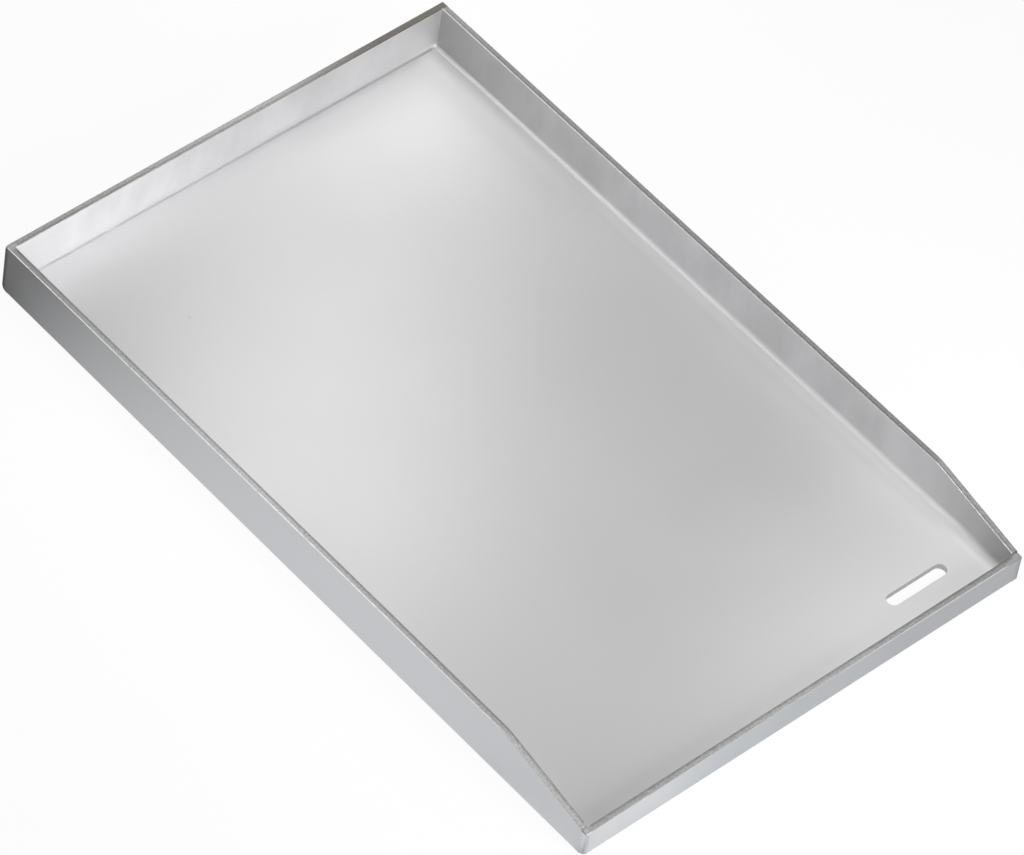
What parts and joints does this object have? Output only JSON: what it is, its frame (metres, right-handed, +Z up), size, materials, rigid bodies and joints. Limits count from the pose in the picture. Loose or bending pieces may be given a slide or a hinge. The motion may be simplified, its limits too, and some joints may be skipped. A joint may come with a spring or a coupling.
{
  "type": "griddle plate",
  "caption": "Shallow folded stainless griddle plate with full-height back and sides, sides sloping down to a low front lip, welded corners and a grease drain slot.",
  "frame": {"origin": "under the middle of the floor, on the surface that the plate stands on", "axes": "+Z up, +Y from the front lip to the back wall, +X to the right seen from the front"},
  "size_m": [0.312, 0.475, 0.0345],
  "materials": {
    "sheet": "satin stainless sheet with deburred cut edges",
    "weld": "stainless weld metal ground flush"
  },
  "bodies": {
    "root": {"floor_plate": "sheet", "back_wall": "sheet", "left_wall": "sheet", "right_wall": "sheet", "front_lip": "sheet", "back_left_weld": "weld", "back_right_weld": "weld", "front_left_weld": "weld", "front_right_weld": "weld"}
  },
  "joints": []
}
